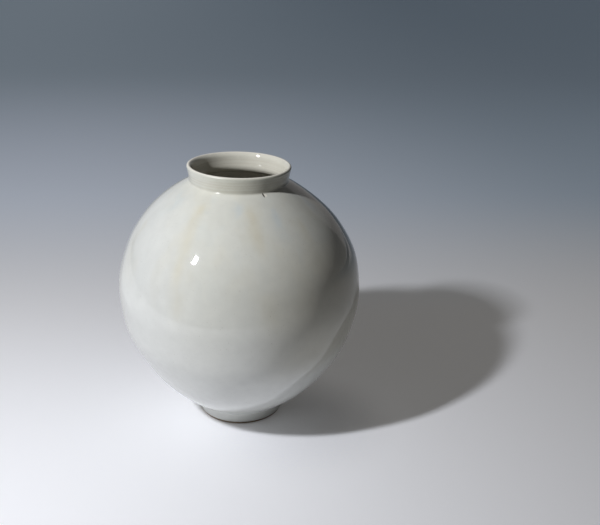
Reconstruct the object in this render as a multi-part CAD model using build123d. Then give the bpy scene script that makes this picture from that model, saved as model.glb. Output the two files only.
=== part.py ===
from build123d import *
from math import acos, asin, atan2, cos, degrees, hypot, radians, sin, sqrt, tan
import os

# Porcelain moon jar: two thrown bowls joined rim to rim at the belly, a collar luted on the
# shoulder, a foot ring luted under the base, and a glaze coat over all but the foot's standing edge.
# Sizes are in millimetres. The axis is +Z and the origin is the centre of the foot, on the floor.

# Globe, measured over its glaze
belly_diameter = 400.0
upper_belly_radius = 192.0
upper_belly_sweep = 44.0
shoulder_radius = 246.0
lower_belly_radius = 210.0
lower_belly_sweep = 23.0
underside_radius = 284.0

# Collar, measured over its glaze
collar_base_diameter = 159.0
collar_lip_diameter = 168.0
collar_height = 26.5
lip_edge_round = 3.0
lip_bevel_radius = 10.0
mouth_lean = 6.6

# Foot ring
foot_height = 23.0
foot_top_diameter = 156.0
foot_bottom_diameter = 140.0
foot_bore_top_diameter = 116.0
foot_bore_bottom_diameter = 122.0
foot_edge_round = 1.6
bare_edge_height = 4.0

# Clay walls
body_wall = 5.5
collar_wall = 5.2
base_thickness = 13.0
floor_round = 60.0
mouth_edge_round = 13.0

# Slip, the liquid clay that joins the thrown pieces
slip_thickness = 0.8
seam_slope = 30.0
seam_bead_radius = 30.0
seam_bead_height = 2.2

# Glaze
glaze_thickness = 0.6
collar_pool_radius = 3.0
foot_pool_radius = 4.0

# Arc centres of the globe's outline. All of its surfaces are arcs about these four points.
belly_radius = belly_diameter / 2
foot_top_radius = foot_top_diameter / 2
under_step = underside_radius - lower_belly_radius
lower_centre_r = belly_radius - lower_belly_radius
under_centre_r = lower_centre_r - under_step * cos(radians(lower_belly_sweep))
under_rise = under_step * sin(radians(lower_belly_sweep))
foot_drop = sqrt(underside_radius**2 - (foot_top_radius - under_centre_r) ** 2)
belly_height = foot_height + foot_drop - under_rise
shoulder_step = shoulder_radius - upper_belly_radius
upper_centre_r = belly_radius - upper_belly_radius
shoulder_centre_r = upper_centre_r - shoulder_step * cos(radians(upper_belly_sweep))
shoulder_centre_z = belly_height - shoulder_step * sin(radians(upper_belly_sweep))
lower_centre = (lower_centre_r, belly_height)
under_centre = (under_centre_r, belly_height + under_rise)
upper_centre = (upper_centre_r, belly_height)
shoulder_centre = (shoulder_centre_r, shoulder_centre_z)

# Collar: a wall that leans out, with a tight edge outside its lip and a soft bevel inside it
collar_base_radius = collar_base_diameter / 2
shoulder_height = shoulder_centre_z + sqrt(
    shoulder_radius**2 - (collar_base_radius - shoulder_centre_r) ** 2
)
jar_height = shoulder_height + collar_height
lip_centre = Vector(collar_lip_diameter / 2 - lip_edge_round, jar_height - lip_edge_round)
base_step = collar_base_radius - lip_centre.X
collar_rise = collar_height - lip_edge_round
collar_lean = asin(lip_edge_round / hypot(base_step, collar_rise)) - atan2(base_step, collar_rise)
collar_up = Vector(sin(collar_lean), cos(collar_lean))
collar_out = Vector(cos(collar_lean), -sin(collar_lean))
mouth_up = Vector(sin(radians(mouth_lean)), cos(radians(mouth_lean)))
mouth_out = Vector(cos(radians(mouth_lean)), -sin(radians(mouth_lean)))

# Depths below the glaze, for the surfaces that lie inside the wall
inner_depth = body_wall + 2 * glaze_thickness
middle_depth = inner_depth / 2
floor_height = foot_height + base_thickness + glaze_thickness
reach = belly_diameter + jar_height


def polygon(*points):
    """Flat face with straight sides."""
    return make_face(Polyline(*points, close=True))


def below(height):
    """Everything under a level."""
    return polygon((-reach, -reach), (reach, -reach), (reach, height), (-reach, height))


def side_arcs(depth, lowest, highest):
    """The globe's side at a depth under its glaze: four tangent arcs, between two directions in degrees."""
    return [
        CenterArc(under_centre, underside_radius - depth, lowest, -lower_belly_sweep - lowest),
        CenterArc(lower_centre, lower_belly_radius - depth, -lower_belly_sweep, lower_belly_sweep),
        CenterArc(upper_centre, upper_belly_radius - depth, 0, upper_belly_sweep),
        CenterArc(shoulder_centre, shoulder_radius - depth, upper_belly_sweep, highest - upper_belly_sweep),
    ]


def globe(depth):
    """The globe's whole section at a depth under its glaze, closed along the axis."""
    lowest = -degrees(acos(-under_centre_r / (underside_radius - depth)))
    highest = degrees(acos(-shoulder_centre_r / (shoulder_radius - depth)))
    arcs = side_arcs(depth, lowest, highest)
    return make_face(arcs + [Line(arcs[-1] @ 1, arcs[0] @ 0)])


def hollow(skin):
    """The space inside the globe, with its flat floor rounded into the side. Skin is the glaze left off."""
    depth = inner_depth - skin
    level = floor_height - skin
    bend = floor_round + skin
    side_radius = underside_radius - depth
    bend_rise = level + bend - under_centre[1]
    bend_centre = (under_centre_r + sqrt((side_radius - bend) ** 2 - bend_rise**2), level + bend)
    turn = degrees(atan2(bend_rise, bend_centre[0] - under_centre_r))
    highest = degrees(acos(-shoulder_centre_r / (shoulder_radius - depth)))
    arcs = side_arcs(depth, turn, highest)
    floor_bend = CenterArc(bend_centre, bend, -90, turn + 90)
    floor_line = Line((0, level), floor_bend @ 0)
    return make_face([floor_line, floor_bend] + arcs + [Line(arcs[-1] @ 1, (0, level))])


def crossing(start, way, centre, radius, side):
    """Where a line meets a circle. Side is 1 for the far meeting along the line, or -1 for the near one."""
    from_centre = start - Vector(*centre)
    along = from_centre.dot(way)
    return start + way * (side * sqrt(along**2 - from_centre.length**2 + radius**2) - along)


def at_height(start, way, height):
    """The point of a line at a height."""
    return start + way * ((height - start.Y) / way.Y)


# Seat: the level at which the collar's clay meets the clay of the shoulder
collar_face = lip_centre + collar_out * (lip_edge_round - glaze_thickness)
seat_edge = crossing(collar_face, collar_up, shoulder_centre, shoulder_radius - glaze_thickness, 1)
seat_height = seat_edge.Y
neck_radius = seat_edge.X - collar_wall / 2
mouth_root = Vector(seat_edge.X - collar_wall - glaze_thickness, seat_height)
bevel_root = mouth_root + mouth_out * lip_bevel_radius
bevel_reach = lip_bevel_radius - lip_edge_round
bevel_centre = crossing(bevel_root, mouth_up, (lip_centre.X, lip_centre.Y), bevel_reach, -1)


def bevel_foot(skin):
    """Where the lip's inner bevel runs into the straight wall of the mouth."""
    return bevel_centre - mouth_out * (lip_bevel_radius - skin)


def collar(skin):
    """The collar's section above its seat, filled in to the axis."""
    edge = lip_edge_round - skin
    turn = degrees(atan2(lip_centre.Y - bevel_centre.Y, lip_centre.X - bevel_centre.X))
    top = lip_centre + collar_out * edge
    outer = Line(at_height(top, collar_up, seat_height), top)
    lip = CenterArc(lip_centre, edge, -degrees(collar_lean), turn + degrees(collar_lean))
    bevel = CenterArc(bevel_centre, lip_bevel_radius - skin, turn, 180 - mouth_lean - turn)
    filling = Polyline(bevel @ 1, (0, (bevel @ 1).Y), (0, seat_height), outer @ 0)
    return make_face([outer, lip, bevel, filling])


def mouth(skin):
    """The space within the wall of the mouth, from the belly's level up past the lip."""
    low = at_height(mouth_root + mouth_out * skin, mouth_up, belly_height)
    top = bevel_foot(skin)
    return polygon((0, belly_height), (low.X, low.Y), (top.X, top.Y), (top.X, reach), (0, reach))


def foot(skin):
    """The foot ring's section, leaning in towards the floor outside and widening towards it inside."""
    coat = glaze_thickness - skin
    outer_bottom = foot_bottom_diameter / 2
    bore_bottom = foot_bore_bottom_diameter / 2
    outer_taper = (foot_top_radius - glaze_thickness - outer_bottom) / foot_height
    bore_taper = (foot_bore_top_diameter / 2 - bore_bottom) / foot_height
    outer_bottom += coat * hypot(1, outer_taper)
    bore_bottom -= coat * hypot(1, bore_taper)
    root = foot_height + base_thickness / 2
    return polygon(
        (bore_bottom, 0),
        (outer_bottom, 0),
        (outer_bottom + root * outer_taper, root),
        (bore_bottom + root * bore_taper, root),
    )


def round_corner(section, point, radius):
    """Rounds the corner of a section that lies nearest to a point."""
    return fillet(section.vertices().sort_by_distance(Vector(*point))[0], radius)


def jar_section(skin):
    """Section of the whole jar with a skin taken off its glazed surfaces: none, or the glaze."""
    ceiling = foot_height - glaze_thickness + skin
    outside = globe(skin) - below(ceiling) + collar(skin)
    return outside - hollow(skin) - mouth(skin) + foot(skin)


def seam_bead(skin):
    """Low ridge of slip on the inside of the belly seam."""
    centre_r = belly_radius - inner_depth + seam_bead_radius - seam_bead_height
    return Pos(centre_r, belly_height) * Circle(seam_bead_radius - skin) & globe(middle_depth)


def under_seam(lift):
    """Everything under the sloping belly seam, lifted by an amount."""
    rise = reach * tan(radians(seam_slope))
    middle = belly_height + lift
    near = belly_radius - middle_depth - reach
    far = belly_radius - middle_depth + reach
    return polygon((near, -reach - rise), (far, -reach - rise), (far, middle + rise), (near, middle - rise))


def round_mouth(section, skin):
    """Rounds the edge where the mouth opens into the globe."""
    ceiling = shoulder_radius - inner_depth + skin
    edge = crossing(bevel_foot(skin), mouth_up, shoulder_centre, ceiling, 1)
    return round_corner(section, (edge.X, edge.Y), mouth_edge_round - skin)


def clay_section():
    """Section of all the clay, bare."""
    return round_mouth(jar_section(glaze_thickness), glaze_thickness)


def glazed_section():
    """Section of the jar as fired, with glaze pooled in the corners at the collar and the foot."""
    section = round_mouth(jar_section(0) + seam_bead(0), 0)
    section = round_corner(section, (collar_base_radius, shoulder_height), collar_pool_radius)
    return round_corner(section, (foot_top_radius, foot_height), foot_pool_radius)


def glaze_section():
    """Section of every glaze coat. The foot's standing edge stays bare."""
    bare = clay + seam_bead(glaze_thickness)
    return glazed_section() - bare - below(bare_edge_height)


def inner_side():
    """Everything within the middle of the wall, from the base up past the lip."""
    lining = globe(middle_depth) - below(foot_height + base_thickness / 2)
    throat = polygon(
        (0, belly_height),
        (neck_radius, belly_height),
        (neck_radius, seat_height),
        (lip_centre.X, lip_centre.Y),
        (lip_centre.X, reach),
        (0, reach),
    )
    return lining + throat


def recess_side():
    """Everything within the middle of the foot ring."""
    top = (foot_top_diameter + foot_bore_top_diameter) / 4
    bottom = (foot_bottom_diameter + foot_bore_bottom_diameter) / 4
    return polygon((0, 0), (bottom, 0), (top, foot_height), (0, foot_height))


seam_lift = slip_thickness / cos(radians(seam_slope))
clay = clay_section()
glaze = glaze_section()


def foot_ring():
    """Ring that the jar stands on, with both edges of its standing face eased."""
    ring = clay & below(foot_height - slip_thickness)
    ring = round_corner(ring, (foot_bottom_diameter / 2, 0), foot_edge_round)
    return round_corner(ring, (foot_bore_bottom_diameter / 2, 0), foot_edge_round)


def foot_slip():
    """Slip between the foot ring and the flat underside of the lower bowl."""
    return (clay & below(foot_height)) - below(foot_height - slip_thickness)


def lower_bowl():
    """Thrown bowl from the flat base up to the bevelled belly seam."""
    return (clay & under_seam(0)) - below(foot_height)


def belly_slip():
    """Slip between the two bevelled rims, squeezed out into a ridge on the inside."""
    web = (clay & under_seam(seam_lift)) - under_seam(0)
    return web + (seam_bead(glaze_thickness) & hollow(glaze_thickness))


def upper_bowl():
    """Thrown bowl turned over, with its base cut open and turned flat as the collar's seat."""
    return (clay & below(seat_height - slip_thickness)) - under_seam(seam_lift)


def neck_slip():
    """Slip under the collar."""
    return (clay & below(seat_height)) - below(seat_height - slip_thickness)


def neck_collar():
    """Leaning collar with its bevelled lip."""
    return clay - below(seat_height)


def outer_glaze():
    """Glaze from the bare foot edge up over the globe and the collar to the lip's crest."""
    return glaze - inner_side() - recess_side()


def inner_glaze():
    """Glaze from the lip's crest down the mouth and over the whole inside."""
    return glaze & inner_side()


def foot_glaze():
    """Glaze in the recess under the base."""
    return glaze & recess_side()


pieces = [
    foot_ring,
    foot_slip,
    lower_bowl,
    belly_slip,
    upper_bowl,
    neck_slip,
    neck_collar,
    outer_glaze,
    inner_glaze,
    foot_glaze,
]
os.makedirs("parts", exist_ok=True)
for piece in pieces:
    turned = revolve(Plane.XZ * piece(), Axis.Z)
    export_step(turned, f"parts/{piece.__name__}.step")
print(f"height {jar_height:.1f}, belly at {belly_height:.1f}, shoulder at {shoulder_height:.1f}")
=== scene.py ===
from math import acos, asin, atan2, ceil, cos, hypot, pi, radians, sin, sqrt, tan

import bpy
import numpy as np
from bpy.props import FloatProperty, FloatVectorProperty, IntProperty, PointerProperty
from mathutils import Matrix, Vector


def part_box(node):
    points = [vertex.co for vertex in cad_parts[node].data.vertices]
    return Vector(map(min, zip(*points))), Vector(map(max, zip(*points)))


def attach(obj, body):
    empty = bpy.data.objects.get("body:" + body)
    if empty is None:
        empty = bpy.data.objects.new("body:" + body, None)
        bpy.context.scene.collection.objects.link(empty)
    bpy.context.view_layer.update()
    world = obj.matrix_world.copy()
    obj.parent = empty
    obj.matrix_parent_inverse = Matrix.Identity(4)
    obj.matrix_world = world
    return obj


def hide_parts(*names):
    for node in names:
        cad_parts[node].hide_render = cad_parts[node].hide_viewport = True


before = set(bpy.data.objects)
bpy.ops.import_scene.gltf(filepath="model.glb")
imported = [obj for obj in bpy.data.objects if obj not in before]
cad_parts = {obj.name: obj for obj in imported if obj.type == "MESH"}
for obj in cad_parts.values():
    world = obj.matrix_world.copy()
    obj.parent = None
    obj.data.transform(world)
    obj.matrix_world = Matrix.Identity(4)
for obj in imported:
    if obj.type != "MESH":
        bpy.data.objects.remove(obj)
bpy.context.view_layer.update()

bl_info = {
    "name": "Porcelain Moon Jar",
    "version": (1, 0, 0),
    "blender": (4, 5, 0),
    "location": "3D View > Sidebar > Moon Jar",
    "description": "Builds a glazed porcelain moon jar from thrown bowls, slip joints and glaze coats",
    "category": "Add Mesh",
}

coat_low, coat_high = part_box("outer_glaze")
slip_low, slip_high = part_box("foot_slip")
lining_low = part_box("inner_glaze")[0]

# Thickness of the fired glaze, in metres
GLAZE_COAT = 0.0006


def length(name, description, default):
    """A size in metres."""
    return FloatProperty(name=name, description=description, default=default, unit="LENGTH", precision=5)


def angle(name, description, degrees):
    """An angle, given here in degrees."""
    return FloatProperty(name=name, description=description, default=radians(degrees), subtype="ANGLE")


def share(name, description, default):
    """A strength from none to full."""
    return FloatProperty(name=name, description=description, default=default, min=0, max=1, subtype="FACTOR")


def colour(name, description, default):
    """A colour in linear light."""
    look = {"subtype": "COLOR", "min": 0, "max": 1}
    return FloatVectorProperty(name=name, description=description, default=default, **look)


class MoonJarForm(bpy.types.PropertyGroup):
    """Sizes of the jar, over its glaze where nothing else is said."""

    belly_diameter: length("Belly diameter", "Width of the globe", coat_high.x - coat_low.x)
    upper_belly_radius: length("Upper belly radius", "Arc above the belly", 0.192)
    upper_belly_sweep: angle("Upper belly sweep", "Turn of the arc above the belly", 44)
    shoulder_radius: length("Shoulder radius", "Arc of the shoulder", 0.246)
    lower_belly_radius: length("Lower belly radius", "Arc below the belly", 0.210)
    lower_belly_sweep: angle("Lower belly sweep", "Turn of the arc below the belly", 23)
    underside_radius: length("Underside radius", "Arc down to the foot", 0.284)
    collar_base_diameter: length("Collar base diameter", "Width where collar and shoulder meet", 0.159)
    collar_lip_diameter: length("Collar lip diameter", "Width over the lip", 0.168)
    collar_height: length("Collar height", "Rise from shoulder to lip", 0.0265)
    lip_edge_round: length("Lip edge round", "Outer edge of the lip", 0.003)
    lip_bevel_radius: length("Lip bevel radius", "Soft bevel inside the lip", 0.010)
    mouth_lean: angle("Mouth lean", "Lean of the mouth's wall", 6.6)
    foot_height: length("Foot height", "Rise from floor to base", slip_high.z)
    foot_top_diameter: length("Foot top diameter", "Width of the foot under the base", 0.156)
    foot_bottom_diameter: length("Foot bottom diameter", "Width of the bare foot on the floor", 0.140)
    foot_bore_top_diameter: length("Foot bore top diameter", "Width of the recess at its ceiling", 0.116)
    foot_bore_bottom_diameter: length("Foot bore bottom diameter", "Width of the recess at the floor", 0.122)
    foot_edge_round: length("Foot edge round", "Easing of the standing edges", 0.0016)
    bare_edge_height: length("Bare edge height", "Height of the wiped clay at the foot", coat_low.z)
    body_wall: length("Body wall", "Thickness of the globe's clay", 0.0055)
    collar_wall: length("Collar wall", "Thickness of the collar's clay at its seat", 0.0052)
    floor_height: length("Floor height", "Height of the glazed floor inside", lining_low.z + GLAZE_COAT)
    floor_round: length("Floor round", "Bend from floor to side", 0.060)
    mouth_edge_round: length("Mouth edge round", "Easing where the mouth opens inside", 0.013)
    slip_thickness: length("Slip thickness", "Thickness of the joining slip", slip_high.z - slip_low.z)
    seam_slope: angle("Seam slope", "Slope of the bevelled belly seam", 30)
    seam_bead_radius: length("Seam bead radius", "Arc of the ridge inside the seam", 0.030)
    seam_bead_height: length("Seam bead height", "Height of the ridge inside the seam", 0.0022)
    glaze_thickness: length("Glaze thickness", "Thickness of the glaze", GLAZE_COAT)
    collar_pool_radius: length("Collar pool radius", "Glaze pooled under the collar", 0.003)
    foot_pool_radius: length("Foot pool radius", "Glaze pooled over the foot", 0.0018)
    upper_slip: length("Upper slip", "Sideways settling of the shoulder", -0.0020)
    lower_slip: length("Lower slip", "Sideways settling under the belly", 0.0016)
    oval: length("Oval", "How much less deep than wide the lip is, to each side", 0.0020)
    broad: length("Broad", "How much wider than deep the belly is, to each side", 0.0016)
    lean: angle("Lean", "Lean of shoulder and collar to the right", 1.15)
    waver: length("Waver", "Strength of the slow waves in the thrown wall", 0.0004)
    hollow: length("Hollow", "Strength of the hollow at the left, over twice its depth", 0.0020)
    around: IntProperty(name="Around", description="Divisions around the jar", default=256, min=32, max=384)
    fine_step: length("Fine step", "Spacing of points on surfaces that show", 0.0026)
    rough_step: length("Rough step", "Spacing of points on hidden surfaces", 0.008)


class MoonJarFinish(bpy.types.PropertyGroup):
    """Colours of the fired surfaces, some with painted light and shade in them."""

    glaze: colour("Glaze", "Milky glaze over the globe", (0.690, 0.692, 0.624))
    # Painted bounce light: the glaze is made paler towards the foot, where light from the floor falls on the
    # jar.
    painted_bounce_glaze: colour("Low glaze", "Glaze that gathered towards the foot", (0.860, 0.868, 0.828))
    # Painted light: the lamp's side is given a cooler, slightly darker glaze, as bright light washes out its
    # colour.
    painted_lit_side_glaze: colour("Cool glaze", "Glaze over the side where it lies thickest", (0.648, 0.658, 0.628))
    # Painted shade: a warmer, darker glaze on the shaded right side, standing in for warm fill light in the
    # shade.
    painted_shade_side_glaze: colour("Warm glaze", "Glaze over the side where it lies thinnest", (0.690, 0.672, 0.575))
    thick_glaze: colour("Thick glaze", "Glaze where it ran thick", (0.630, 0.668, 0.650))
    thin_glaze: colour("Thin glaze", "Glaze over the collar", (0.588, 0.584, 0.496))
    # Painted light: the inside is given a paler, warmer glaze than the outside, standing in for the lit back
    # wall of the neck and its warm bounce light.
    inner_glaze: colour("Inner glaze", "Glaze inside the neck", (0.890, 0.855, 0.750))
    # Painted shade: darker, greyer glaze deep inside the globe, where little light reaches.
    painted_deep_shade_glaze: colour("Deep glaze", "Glaze inside the globe", (0.845, 0.820, 0.760))
    stain: colour("Stain", "Straw coloured runs", (0.660, 0.628, 0.505))
    lip: colour("Lip", "Clay showing through at the lip's crest", (0.860, 0.830, 0.730))
    crack: colour("Crack", "Bare clay in the crawled glaze", (0.045, 0.038, 0.026))
    clay: colour("Clay", "Unglazed clay", (0.430, 0.345, 0.245))
    toasted_clay: colour("Toasted clay", "Clay browned at the edge of the glaze", (0.190, 0.115, 0.055))
    joint_slip: colour("Joint slip", "Fired slip in the joints", (0.520, 0.465, 0.380))
    mottle: share("Mottle", "Unevenness of the glaze colour", 0.04)


class MoonJarStage(bpy.types.PropertyGroup):
    """Camera, light and floor."""

    camera_distance: length("Camera distance", "From the jar's axis along the floor", 1.34686)
    camera_height: length("Camera height", "Above the floor", 0.81430)
    camera_yaw: angle("Camera yaw", "Turn to the right", 4.2806)
    camera_pitch: angle("Camera pitch", "Tilt down", 21.9798)
    camera_roll: angle("Camera roll", "Lean of the picture", 1.0835)
    lens: FloatProperty(name="Lens", description="Focal length in millimetres", default=51.86)
    light_place: FloatVectorProperty(
        name="Light place",
        description="Middle of the lamp",
        default=(-0.872, -0.694, 1.224),
        subtype="XYZ",
        unit="LENGTH",
    )
    light_aim: length("Light aim", "Height on the jar's axis that the lamp points at", 0.22)
    light_width: length("Light width", "Width of the lamp's face", 0.075)
    light_tall: length("Light height", "Height of the lamp's face", 0.124)
    light_power: FloatProperty(name="Light power", description="Power in watts", default=19.4, min=0)
    light_colour: colour("Light colour", "Colour of the lamp", (0.955, 0.965, 1.0))
    air: colour("Air", "Light from all around", (0.0200, 0.0185, 0.0158))
    paper: colour("Paper", "Floor", (0.893, 0.903, 0.938))
    near_paper: colour("Near paper", "Paleness of the floor by the jar", (0.130, 0.128, 0.126))
    left_paper: colour("Left paper", "Paleness of the floor behind to the left", (0.170, 0.197, 0.243))
    right_paper: colour("Right paper", "Paleness of the floor behind to the right", (0.070, 0.097, 0.127))
    far_left: colour("Far left", "Paleness of the floor far away to the left", (0.105, 0.1325, 0.162))
    far_right: colour("Far right", "Paleness of the floor far away to the right", (0.053, 0.074, 0.098))
    close_shade: share("Close shade", "How much of the paleness is left right beside the foot", 0.45)
    dim: colour("Dim", "Floor past the paper's edge", (0.05, 0.055, 0.06))
    wall: colour("Wall", "Backdrop around the floor", (0.17, 0.175, 0.18))
    room_floor: colour("Room floor", "Floor past the paper, as seen", (0.06, 0.065, 0.07))
    edge_away: length("Edge away", "From the jar's axis to the paper's front edge", 0.92)
    edge_side: angle("Edge side", "Direction of the paper's front edge from the jar", -120)
    left_away: length("Left away", "From the jar's axis to the paper's left edge", 2.30)
    left_side: angle("Left side", "Direction of the paper's left edge from the jar", 180)
    corner_away: length("Corner away", "From the jar's axis to the line where the left edge ends", 0.25)
    corner_side: angle("Corner side", "Direction of that line from the jar", 216)
    beside: colour("Beside", "Paleness of the floor along the paper's left edge", (0.42, 0.43, 0.44))
    screen: colour("Screen", "Right end of the pale screen behind the jar", (0.315, 0.31, 0.31))
    left_screen: colour("Left screen", "Left end of the pale screen", (0.47, 0.49, 0.52))
    screen_floor: colour("Screen floor", "Paleness of the floor before the screen", (0.30, 0.31, 0.33))
    screen_start: angle("Screen start", "Direction of the screen's right edge from the jar", 43)
    screen_stop: angle("Screen stop", "Direction of the screen's left edge from the jar", 128)
    screen_top: angle("Screen top", "How high the screen stands, seen from the jar", 24)
    reach: length("Reach", "Half the floor's width", 30.0)


# Spacing of points along the small bends and rims, in metres
FOOT_EDGE_STEP = 0.0003
LIP_STEP = 0.0004
POOL_STEP = 0.0006
BEVEL_STEP = 0.0008
THROAT_STEP = 0.001
COLLAR_STEP = 0.0012
FOOT_STEP = 0.0015
RECESS_SIDE_STEP = 0.002
RECESS_STEP = 0.004

# Divisions around the hidden pieces and around the lining
HIDDEN_AROUND = 192
LINING_AROUND = 224


def arc(centre, radius, start, stop, step):
    """Points along a circle's arc: centre plus radius times cosine and sine of an evenly growing
    direction."""
    count = max(3, ceil(abs(stop - start) * radius / step) + 1)
    turn = np.linspace(start, stop, count)
    return np.column_stack((centre[0] + radius * np.cos(turn), centre[1] + radius * np.sin(turn)))


def line(start, stop, step):
    """Points evenly spaced on a straight line."""
    start = np.asarray(start, float)
    stop = np.asarray(stop, float)
    count = max(2, ceil(np.linalg.norm(stop - start) / step) + 1)
    return start + np.linspace(0, 1, count)[:, None] * (stop - start)


def chain(*runs):
    """Runs of points put end to end, without the points that repeat."""
    points = np.concatenate(runs)
    apart = np.linalg.norm(np.diff(points, axis=0), axis=1) > 1e-7
    return points[np.concatenate(([True], apart))]


def crossings(point, direction, centre, radius):
    """Distances along a line at which it crosses a circle, from the circle's equation put into the line's."""
    gap = np.subtract(point, centre)
    along = float(gap @ direction)
    half = sqrt(along**2 - float(gap @ gap) + radius**2)
    return -along - half, -along + half


def heading(point, centre=(0, 0)):
    """Direction from a centre to a point."""
    return atan2(point[1] - centre[1], point[0] - centre[0])


def ramp(value, start, stop):
    """Grows in a straight line from none at start to one at stop, and stays there."""
    return np.clip((value - start) / (stop - start), 0, 1)


def bell(value, middle, spread):
    """A bell curve: e to the minus square of the distance from its middle, in spreads."""
    return np.exp(-(((value - middle) / spread) ** 2))


class JarSection:
    """The jar's half section, radius against height. Skin is how much of the glaze is taken off: none, or all
    of it. A method that bears a CAD node's name gives that node's closed section."""

    def __init__(self, form):
        self.form = form
        self.glaze = form.glaze_thickness
        self.belly = form.belly_diameter / 2
        self.foot_top = form.foot_top_diameter / 2
        self.edge = form.lip_edge_round
        self.inner_depth = form.body_wall + 2 * self.glaze
        under_step = form.underside_radius - form.lower_belly_radius
        lower_r = self.belly - form.lower_belly_radius
        under_r = lower_r - under_step * cos(form.lower_belly_sweep)
        under_rise = under_step * sin(form.lower_belly_sweep)
        foot_drop = sqrt(form.underside_radius**2 - (self.foot_top - under_r) ** 2)
        self.belly_height = form.foot_height + foot_drop - under_rise
        shoulder_step = form.shoulder_radius - form.upper_belly_radius
        upper_r = self.belly - form.upper_belly_radius
        shoulder_r = upper_r - shoulder_step * cos(form.upper_belly_sweep)
        shoulder_z = self.belly_height - shoulder_step * sin(form.upper_belly_sweep)
        self.under = np.array((under_r, self.belly_height + under_rise))
        self.lower = np.array((lower_r, self.belly_height))
        self.upper = np.array((upper_r, self.belly_height))
        self.shoulder = np.array((shoulder_r, shoulder_z))
        base = form.collar_base_diameter / 2
        shoulder_top = shoulder_z + sqrt(form.shoulder_radius**2 - (base - shoulder_r) ** 2)
        self.height = shoulder_top + form.collar_height
        self.lip = np.array((form.collar_lip_diameter / 2 - self.edge, self.height - self.edge))
        step = base - self.lip[0]
        rise = form.collar_height - self.edge
        self.lean = asin(self.edge / hypot(step, rise)) - atan2(step, rise)
        self.collar_up = np.array((sin(self.lean), cos(self.lean)))
        self.collar_out = np.array((cos(self.lean), -sin(self.lean)))
        clay_edge = self.lip + self.collar_out * (self.edge - self.glaze)
        clay_shoulder = form.shoulder_radius - self.glaze
        fall = crossings(clay_edge, -self.collar_up, self.shoulder, clay_shoulder)[0]
        seat_edge = clay_edge - self.collar_up * fall
        self.seat = seat_edge[1]
        self.mouth_up = np.array((sin(form.mouth_lean), cos(form.mouth_lean)))
        self.mouth_out = np.array((cos(form.mouth_lean), -sin(form.mouth_lean)))
        wall = np.array((seat_edge[0] - form.collar_wall - self.glaze, self.seat))
        bevel = wall + self.mouth_out * form.lip_bevel_radius
        gap = form.lip_bevel_radius - self.edge
        self.bevel = bevel + self.mouth_up * crossings(bevel, self.mouth_up, self.lip, gap)[0]
        self.seam_rise = tan(form.seam_slope)

    def side(self, depth, low, high, step):
        """The globe's side at a depth under its glaze, between two heights: four arcs that meet without a
        corner."""
        form = self.form
        bends = (
            (self.under, form.underside_radius, -pi / 2, -form.lower_belly_sweep),
            (self.lower, form.lower_belly_radius, -form.lower_belly_sweep, 0),
            (self.upper, form.upper_belly_radius, 0, form.upper_belly_sweep),
            (self.shoulder, form.shoulder_radius, form.upper_belly_sweep, pi / 2),
        )
        runs = []
        for centre, radius, first, last in bends:
            radius -= depth
            first = max(first, asin(max(-1, min(1, (low - centre[1]) / radius))))
            last = min(last, asin(max(-1, min(1, (high - centre[1]) / radius))))
            if last > first:
                runs.append(arc(centre, radius, first, last, step))
        return chain(*runs)

    def foot_line(self, skin):
        """The foot's outer side: its lowest point, its direction up and its direction out."""
        form = self.form
        taper = (self.foot_top - self.glaze - form.foot_bottom_diameter / 2) / form.foot_height
        up = np.array((taper, 1)) / hypot(taper, 1)
        out = np.array((up[1], -up[0]))
        start = np.array((form.foot_bottom_diameter / 2 + (self.glaze - skin) * hypot(taper, 1), 0))
        return start, up, out

    def bore_line(self, skin):
        """The foot's inner side: its lowest point and its direction up."""
        form = self.form
        taper = (form.foot_bore_top_diameter - form.foot_bore_bottom_diameter) / 2 / form.foot_height
        up = np.array((taper, 1)) / hypot(taper, 1)
        start = np.array((form.foot_bore_bottom_diameter / 2 - (self.glaze - skin) * hypot(taper, 1), 0))
        return start, up

    def at_height(self, start, up, height):
        """The point of a straight side at a height."""
        return start + up * (height - start[1]) / up[1]

    def glazed_outside(self):
        """The outer coat's face, from the wiped foot up to the lip's crest, with glaze pooled in both
        corners."""
        form = self.form
        step = form.fine_step
        start, up, out = self.foot_line(0)
        pool = form.foot_pool_radius
        reach = form.underside_radius + pool
        low_pool = start + out * pool
        low_pool = low_pool + up * crossings(low_pool, up, self.under, reach)[0]
        low_end = self.under + (low_pool - self.under) * form.underside_radius / reach
        foot_end = low_pool - out * pool
        bead = self.at_height(start, up, form.bare_edge_height + self.glaze)
        drip = arc(bead - out * self.glaze, self.glaze, -pi / 2, heading(out), self.glaze / 4)
        foot_side = line(bead, foot_end, step)
        turn = heading(foot_end, low_pool) % (2 * pi)
        foot_pool = arc(low_pool, pool, turn, heading(low_end, low_pool), POOL_STEP)
        pool = form.collar_pool_radius
        reach = form.shoulder_radius + pool
        edge = self.lip + self.collar_out * (self.edge + pool)
        high_pool = edge - self.collar_up * crossings(edge, -self.collar_up, self.shoulder, reach)[0]
        high_end = self.shoulder + (high_pool - self.shoulder) * form.shoulder_radius / reach
        collar_end = high_pool - self.collar_out * pool
        turn = heading(high_end, high_pool) % (2 * pi)
        collar_pool = arc(high_pool, pool, turn, heading(collar_end, high_pool) % (2 * pi), LIP_STEP)
        globe = self.side(0, low_end[1], high_end[1], step)
        collar = line(collar_end, self.lip + self.collar_out * self.edge, COLLAR_STEP)
        lip = arc(self.lip, self.edge, -self.lean, pi / 2, LIP_STEP)
        return chain(drip, foot_side, foot_pool, globe, collar_pool, collar, lip)

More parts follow.
